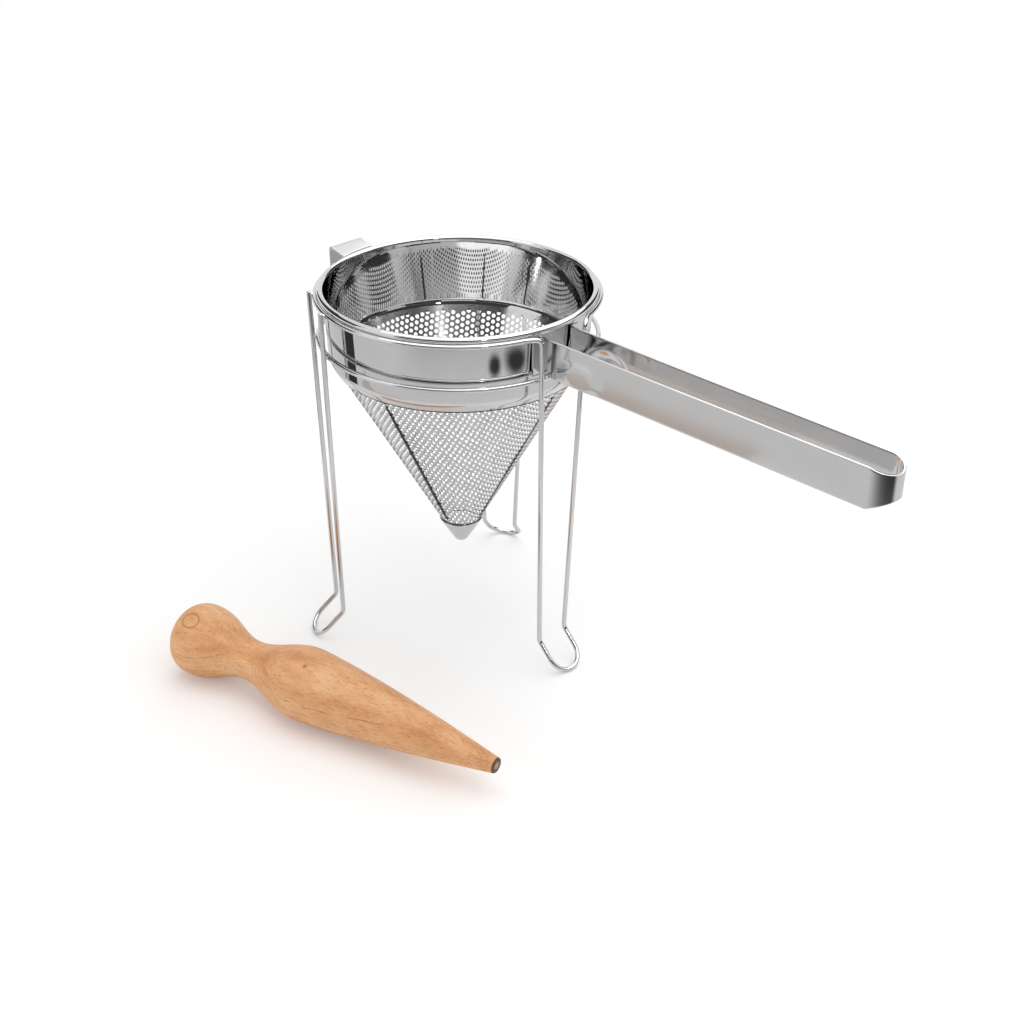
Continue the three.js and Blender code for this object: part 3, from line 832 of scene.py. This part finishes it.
def seat_wire(name, path, closed, node):
    """Draws a tube along a path and seats it on the stand; the sheet runs along the wire first."""
    points, run = tube(path, closed)
    girth = 2 * math.pi * wire_radius
    seat_grid(
        name, points, run, girth, chromed_wire, "stand", node, wrap_rows=closed, lines_along_rows=True)


def ring_with_leg():
    """Half the ring, out to a leg corner and down to the foot, and the same back on the other side."""
    corner = leg_point(upper_ring_height, -1)
    run_out_end = math.degrees(math.atan2(leg_top_half, leg_top_radius)) + ring_run_out
    plane_half = arc((0.0, 0.0), upper_ring_radius, -180.0, -run_out_end, half_ring_steps)
    half_ring = at_height(plane_half, upper_ring_height)
    foot = foot_half(corner)
    bend_down = rounded(half_ring[-1], corner, foot[0], ring_bend, bend_steps)
    wire = straight(bend_down[-1], foot[0], leg_steps)[1:-1]
    return both_sides(np.concatenate([half_ring, bend_down, wire, foot]))[1:]


def leg_path():
    """A hairpin leg before it is turned to its place: down one side, round the foot, and up the other."""
    near_end = leg_point(upper_ring_height + wire_radius + leg_stub, -1)
    foot = foot_half(near_end)
    return both_sides(np.concatenate([straight(near_end, foot[0], leg_steps)[:-1], foot]))


leg_at_lower_ring = leg_point(lower_ring_height, 1)
lower_ring_radius = math.hypot(*leg_at_lower_ring[:2]) - 2 * wire_radius - clearance
plane_ring = arc((0.0, 0.0), lower_ring_radius, 0.0, 360.0, round_steps)[:-1]
lower_ring = at_height(plane_ring, lower_ring_height)

seat_wire("upper_ring_with_front_leg_surface", ring_with_leg(), True, "upper_ring_with_front_leg")
seat_wire("lower_ring_surface", lower_ring, True, "lower_ring")
seat_wire("left_leg_surface", turned_by(leg_path(), -leg_spread), False, "left_leg")
seat_wire("rear_leg_surface", turned_by(leg_path(), leg_spread), False, "rear_leg")

# %% Weld the crossings
bead_size = np.array([1.5, 1.9, 1.5])
bead_rows, bead_columns = 7, 10
bead_length, bead_girth = 5.0, 10.0


def weld_beads(middles, turns):
    """Small ovals at the crossings: a ball's two angles on a grid, stretched along the ring and turned."""
    rise, turn = np.meshgrid(
        np.linspace(-quarter_turn, quarter_turn, bead_rows), full_turn(bead_columns), indexing="ij")
    ball = np.stack([np.cos(rise) * np.cos(turn), np.cos(rise) * np.sin(turn), np.sin(rise)], axis=-1)
    ovals = [turned_by(ball * bead_size, math.degrees(turn)) for turn in turns]
    return np.stack(ovals) + middles[:, None, None]


def crossings(height, ring_radius, leg_turns):
    """Places half way between a ring's wire and both wires of each leg."""
    wires = np.array([turned_by(leg_point(height, side), turn) for turn in leg_turns for side in (-1, 1)])
    leg_distance = math.hypot(*leg_point(height, 1)[:2])
    return wires + unit(wires * np.array([1.0, 1.0, 0.0])) * ((ring_radius - leg_distance) / 2)


bead_middles = np.concatenate([
    crossings(upper_ring_height, upper_ring_radius, [leg_spread, -leg_spread]),
    crossings(lower_ring_height, lower_ring_radius, [0.0, leg_spread, -leg_spread]),
])
bead_turns = np.arctan2(bead_middles[:, 1], bead_middles[:, 0])
seat_grid(
    "stand_weld_beads", weld_beads(bead_middles, bead_turns), np.linspace(0.0, bead_length, bead_rows),
    bead_girth, chromed_wire, "stand")

# %% [markdown]
# ## Pestle
#
# The pestle is one piece of beech turned between centres: a full knob for the palm, a slim neck, and a
# belly that runs to a small flat tip. The same curve that shaped the solid is turned here in fine steps
# and laid on the table on its knob and belly.

# %% Turn the pestle
pestle_length, knob_radius, knob_length = 253.0, 24.4, 20.0
neck_radius, neck_place, belly_radius, belly_place = 13.3, 61.0, 24.1, 108.0
tip_radius, knob_fullness, belly_fullness = 4.9, 2.6, 1.35
pestle_knob, pestle_heading = (-84.0, -178.5), math.radians(12.0)
pestle_tilt = math.asin((knob_radius - belly_radius) / (belly_place - knob_length))
knob_steps, body_steps, pestle_steps = 40, 170, 112
tip_start, tip_bend, pestle_girth = 0.9, 0.7, 150.0


def pestle_radius(place):
    """Radius along the pestle: a full knob, smooth waves to the neck and belly, a taper to the tip."""
    def wave(share):
        return (1.0 - np.cos(math.pi * np.clip(share, 0.0, 1.0))) / 2
    to_middle = np.clip((knob_length - place) / knob_length, 0.0, 1.0)
    knob = knob_radius * np.sqrt(1.0 - to_middle ** knob_fullness)
    to_neck = wave((place - knob_length) / (neck_place - knob_length))
    neck = knob_radius + (neck_radius - knob_radius) * to_neck
    to_belly = wave((place - neck_place) / (belly_place - neck_place))
    belly = neck_radius + (belly_radius - neck_radius) * to_belly
    run_out = np.clip((place - belly_place) / (pestle_length - belly_place), 0.0, 1.0) ** belly_fullness
    taper = belly_radius + (tip_radius - belly_radius) * run_out
    stretches = [place < knob_length, place < neck_place, place < belly_place]
    return np.select(stretches, [knob, neck, belly], taper)


knob_places = knob_length * (1.0 - np.cos(np.linspace(0.0, quarter_turn, knob_steps)))
body_places = np.linspace(knob_length, pestle_length - tip_start, body_steps)
places = np.concatenate([knob_places, body_places[1:]])
side_line = np.stack([places, pestle_radius(places)], axis=1)
tip_middle = np.array([pestle_length, 0.0])
tip_arc = rounded(side_line[-1], np.array([pestle_length, tip_radius]), tip_middle, tip_bend, 6)
outline = np.concatenate([side_line[:-1], tip_arc, [tip_middle]])

axis_along = direction(pestle_heading, -pestle_tilt)
axis_across = direction(pestle_heading + quarter_turn)
axis_up = np.cross(axis_along, axis_across)
turn = full_turn(pestle_steps)[None, :, None]
spokes = np.cos(turn) * axis_across + np.sin(turn) * axis_up
pestle_points = outline[:, :1, None] * axis_along + outline[:, 1:, None] * spokes
pestle_start = np.array([*pestle_knob, -pestle_points[..., 2].min()])
print("the pestle's knob end is at", pestle_start.round(2), "mm from the sieve's axis")

# %% [markdown]
# ## Beech
#
# Beech is a warm, fine wood. The blank was cut so that its growth layers lie flat under a direction
# that points up and forwards: one thin late line makes the small ring on the knob, and the layers below
# it, 11 mm apart, show as lines along the sides. A pin knot makes the dark spot on the belly. Short
# pore flecks lie along the grain, and soft clouds keep the colour from being even. The wood's own frame
# is found by turning object coordinates back to the pestle's axis, with the third direction across the
# layers. The end grain at the tip has darkened at its edge.

# %% Beech finish
layer_turn = math.radians(26.3)
top_layer, layer_step, layer_line = 23.75, 10.95, 0.45
pin_knot = (114.6, 1.9, 23.7)


def beech_finish():
    """Wandering growth lines, clouds, fibres and pore flecks over a warm wood, satin to the touch."""
    material, shader, start = new_finish("beech", {"Specular IOR Level": 0.35})
    grain = start.node("ShaderNodeMapping", {"vector_type": "TEXTURE"}, {
        "Vector": start.coordinates("Object"),
        "Location": tuple(pestle_start * MM + SIEVE_AXIS),
        "Rotation": (layer_turn, pestle_tilt, pestle_heading),
    })
    along, across, depth = grain.parts()
    clouds = start.noise(grain, (26.0, 80.0, 80.0))
    bands = start.noise(grain, (9.0, 60.0, 260.0), detail=2.0)
    fibres = start.noise(grain, (75.0, 1500.0, 1500.0), detail=2.0)
    flecks = start.noise(grain, (230.0, 1300.0, 1300.0), detail=1.0).step(0.60, 0.72)
    wander = start.noise(grain, (24.0, 60.0, 60.0), detail=2.0) - 0.5
    bent = depth - along * 0.0045 + (top_layer * MM - depth) * wander * 0.35
    from_line = start.math("PINGPONG", (bent - top_layer * MM) * (1000.0 / layer_step), 0.5)
    broken = start.noise(grain, (70.0, 160.0, 160.0), detail=2.0).step(0.36, 0.56)
    on_side = (across * across).step((5.0 * MM) ** 2, (11.0 * MM) ** 2)
    on_knob = 1.0 - along.step(0.028, 0.040)
    fine_line = 1.0 - from_line.step(0.0, 0.4 * layer_line / layer_step)
    wide_line = 1.0 - from_line.step(0.0, layer_line / layer_step)
    growth_lines = start.math("MAXIMUM", fine_line * on_knob, wide_line * broken * on_side)
    from_knot = grain.distance(np.array(pin_knot) * MM)
    tone = clouds * 0.45 + bands * 0.25 + fibres * 0.30
    wood = start.node("ShaderNodeValToRGB", {"stops": [
        (0.36, (0.64, 0.285, 0.110, 1.0)),
        (0.50, (0.82, 0.425, 0.198, 1.0)),
        (0.64, (0.93, 0.570, 0.310, 1.0)),
    ]}, {"Fac": tone})
    with_flecks = (flecks * 0.60).mix(wood, (0.36, 0.155, 0.055, 1.0))
    with_lines = (growth_lines * 0.65).mix(with_flecks, (0.30, 0.125, 0.045, 1.0))
    with_knot = ((1.0 - from_knot.step(0.0003, 0.0022)) * 0.70).mix(with_lines, (0.22, 0.08, 0.035, 1.0))
    from_axis = across * across + depth * depth
    end_edge = from_axis.step((1.5 * MM) ** 2, (2.9 * MM) ** 2)
    end_colour = end_edge.mix((0.40, 0.31, 0.23, 1.0), (0.13, 0.062, 0.028, 1.0))
    end_grain = along.step((pestle_length - 1.1) * MM, (pestle_length - 0.5) * MM)
    end_grain.mix(with_knot, end_colour).into(shader, "Base Color")
    (tone * 0.20 + 0.34).into(shader, "Roughness")
    relief = {"Height": fibres - flecks * 0.8, "Strength": 0.10, "Distance": 0.0003}
    start.node("ShaderNodeBump", None, relief, out="Normal").into(shader, "Normal")
    return material


seat_grid(
    "pestle_surface", pestle_points + pestle_start, lengths_along(outline), pestle_girth, beech_finish(),
    "pestle", "pestle", lines_along_rows=True)

# %% [markdown]
# ## Table and light
#
# The set stands on white paper under a large soft box. Polished steel has no colour of its own: it
# shows what stands round it, and the bright and dark bands in the picture tell what that was. So the
# walls of a dark room start a little above the table, open behind the set, where the backdrop is white,
# and at the left front, as for a window. On the table lie a dim ring before the handle's end, two soft
# spots, a dark strip on the left and two warm boards. Only reflections see all these. To the camera the
# paper fades into a white room, and it is seen a little brighter than it is lit, so that only the real
# shadows stay on it.

# %% Stage finishes
white = (1.0, 1.0, 1.0, 1.0)
handle_side_edge, front_side_edge = (-0.1, 0.2), (0.05, 0.25)
ring_fade, spot_core = 1.2, 0.30


def seen_directly(start):
    """1 for what the camera sees straight, in a mirror or through glass, and 0 for light that only fills."""
    kinds = ("Camera", "Glossy", "Transmission")
    rays = [start.node("ShaderNodeLightPath", out=f"Is {kind} Ray") for kind in kinds]
    return start.math("MAXIMUM", start.math("MAXIMUM", rays[0], rays[1]), rays[2])


def faded_out(material, shader, start, clearness):
    """Lets a finish give way to clear air as the clearness goes from 0 to 1."""
    shaders = {
        "Fac": clearness,
        1: Shade(material.node_tree, shader.outputs[0]),
        2: start.node("ShaderNodeBsdfTransparent"),
    }
    mixed = start.node("ShaderNodeMixShader", None, shaders)
    mixed.into(material.node_tree.nodes["Material Output"], "Surface")


def paper_finish(lift, fade_start, fade_end):
    """Matt white paper, lifted a little for the eye, that fades out between two distances in metres."""
    material, shader, start = new_finish("white_paper", {
        "Base Color": (0.93, 0.93, 0.93, 1.0),
        "Roughness": 0.9,
        "Specular IOR Level": 0.0,
        "Emission Strength": lift,
    })
    camera_ray = start.node("ShaderNodeLightPath", out="Is Camera Ray")
    camera_ray.mix((0.0, 0.0, 0.0, 1.0), white).into(shader, "Emission Color")
    away = start.coordinates("Object").distance(SIEVE_AXIS)
    faded_out(material, shader, start, away.step(fade_start, fade_end))
    return material


def new_cloth(name, colour):
    """The start of a matt cloth's finish."""
    return new_finish(name, {"Base Color": (*colour, 1.0), "Roughness": 1.0})


def dim_finish(share, near, middle, far, end):
    """Dark cloth, by metres from the sieve: thin all round, and close in a ring before the handle's end."""
    material, shader, start = new_cloth("dim_floor", (0.03, 0.03, 0.03))
    place = start.coordinates("Object")
    away = place.distance(SIEVE_AXIS)
    towards_handle, behind = place.parts()[:2]
    handle_side = towards_handle.step(*(SIEVE_AXIS[0] + edge for edge in handle_side_edge))
    front_side = 1.0 - behind.step(*(SIEVE_AXIS[1] + edge for edge in front_side_edge))
    before_end = 1.0 - away.step(end, ring_fade * end)
    ring = away.step(middle, far) * before_end * handle_side * front_side
    cover = away.step(near, middle) * before_end * share + ring * (1.0 - share)
    faded_out(material, shader, start, 1.0 - cover)
    return material


def spot_finish(name, colour, turn, distance, reach_out, reach_along):
    """A cloth that is only there in an oval about one place on the table, with a soft edge."""
    material, shader, start = new_cloth(name, colour)
    angle = math.radians(turn)
    spot = start.node("ShaderNodeMapping", {"vector_type": "TEXTURE"}, {
        "Vector": start.coordinates("Object"),
        "Location": tuple(direction(angle) * distance * MM + SIEVE_AXIS),
        "Rotation": (0.0, 0.0, angle),
        "Scale": (reach_out * MM, reach_along * MM, 1.0),
    })
    faded_out(material, shader, start, spot.distance((0.0, 0.0, 0.0)).step(spot_core, 1.0))
    return material


paper = paper_finish(lift=0.16, fade_start=0.62, fade_end=1.0)
black = (0.02, 0.02, 0.02)
black_cloth = new_cloth("black_cloth", black)[0]
dark_wall = new_cloth("dark_wall", (0.06, 0.06, 0.06))[0]
warm_board = new_cloth("warm_board", (0.60, 0.51, 0.45))[0]
pale_board = new_cloth("pale_board", (0.93, 0.83, 0.76))[0]
dim_floor = dim_finish(share=0.2, near=0.25, middle=0.40, far=0.78, end=1.15)
print("stage finishes:", paper.name, "and", dim_floor.name)

# %% Stage pieces
one_face = [(0, 1, 2, 3)]
dim_lift, sheet_lift = np.array([0.0, 0.0, 0.2]), np.array([0.0, 0.0, 0.4])


def stage_piece(name, points, faces, finish):
    """A mesh of the stage, in millimetres about the sieve's axis."""
    made = mesh_object(name, points, faces, finish)
    return made


def only_mirrored(name, points, faces, finish):
    """A sheet that shows in reflections and nowhere else."""
    screen = stage_piece(name, points, faces, finish)
    for kind in ("camera", "diffuse", "shadow", "transmission", "volume_scatter"):
        setattr(screen, f"visible_{kind}", False)


def on_table(turn, near, far, first, last):
    """Corners of a sheet on the table: between two distances at a turn, and two places along it."""
    outwards = direction(math.radians(turn))
    along = direction(math.radians(turn) + quarter_turn)
    corners = ((near, first), (far, first), (far, last), (near, last))
    return [out * outwards + side * along + sheet_lift for out, side in corners]


paper_half = 3000.0
paper_corners = np.array([(-1, -1, 0), (1, -1, 0), (1, 1, 0), (-1, 1, 0)]) * paper_half
stage_piece("white_paper", paper_corners, one_face, paper)
only_mirrored("dim_far_floor", paper_corners + dim_lift, one_face, dim_floor)
for name, finish, turn, near, far, first, last in (
    ("gap_on_the_left", black_cloth, -145.0, 400.0, 560.0, -66.0, 66.0),
    ("board_in_front", warm_board, -90.0, 330.0, 374.0, -280.0, 10.0),
    ("board_behind", pale_board, 90.0, 225.0, 345.0, -60.0, 270.0),
):
    only_mirrored(name, on_table(turn, near, far, first, last), one_face, finish)
for name, turn, distance, reach_out, reach_along in (
    ("spot_before_handle", -15.0, 483.0, 32.0, 62.0),
    ("spot_below_handle", 3.0, 490.0, 42.0, 125.0),
):
    spot = spot_finish(name, black, turn, distance, reach_out, reach_along)
    near, far = distance - reach_out, distance + reach_out
    only_mirrored(name, on_table(turn, near, far, -reach_along, reach_along), one_face, spot)

room_radius, wall_foot, room_steps = 2000.0, 330.0, 33
room_walls = {
    "front": (-93.0, 11.0, 1750.0),
    "right": (11.0, 41.0, 1750.0),
    "right_rear": (41.0, 67.0, 1100.0),
    "rear": (67.0, 107.0, 1750.0),
    "left": (167.0, 232.0, 1750.0),
}
for side, (first, last, room_height) in room_walls.items():
    wall_line = arc((0.0, 0.0), room_radius, first, last, room_steps)
    wall_points = np.concatenate([at_height(wall_line, height) for height in (wall_foot, room_height)])
    only_mirrored(f"dark_room_{side}", wall_points, grid_faces(2, len(wall_line)).tolist(), dark_wall)
print("paper", 2 * paper_half, "mm, room", 2 * room_radius, "mm across")


# %% Lights
sieve_middle = np.array([0.0, 0.0, 0.12])


def soft_light(name, place, size, power, mirrored):
    """A square soft box, its size in metres, that looks at the sieve and shows in the metal or not."""
    data = bpy.data.lights.new(name, "AREA")
    data.size = size
    data.energy = power
    light = linked(name, data)
    place = np.array(place) * MM
    back = unit(place - sieve_middle)
    sideways = unit(np.cross(np.array([0.0, 1.0, 0.0]), back))
    light.matrix_world = pose(sideways, np.cross(back, sideways), back, place + SIEVE_AXIS)
    light.visible_glossy = mirrored


soft_light("overhead_soft_box", (300.0, 450.0, 1700.0), size=3.0, power=34.0, mirrored=True)
soft_light("low_fill_in_front", (-700.0, -1500.0, 350.0), size=1.2, power=6.0, mirrored=False)
soft_light("small_lamp_by_camera", (947.0, -402.0, 818.0), size=0.08, power=0.4, mirrored=True)

room = bpy.data.worlds.new("white_room")
room.use_nodes = True
bpy.context.scene.world = room
background = room.node_tree.nodes["Background"]
background.inputs["Color"].default_value = white
room_fill = 0.42
(seen_directly(Shade(room.node_tree)) * (1.0 - room_fill) + room_fill).into(background, "Strength")
bpy.context.scene.view_settings.view_transform = "Standard"
print("lights:", [light.name for light in bpy.data.lights], "| room fill", room_fill)
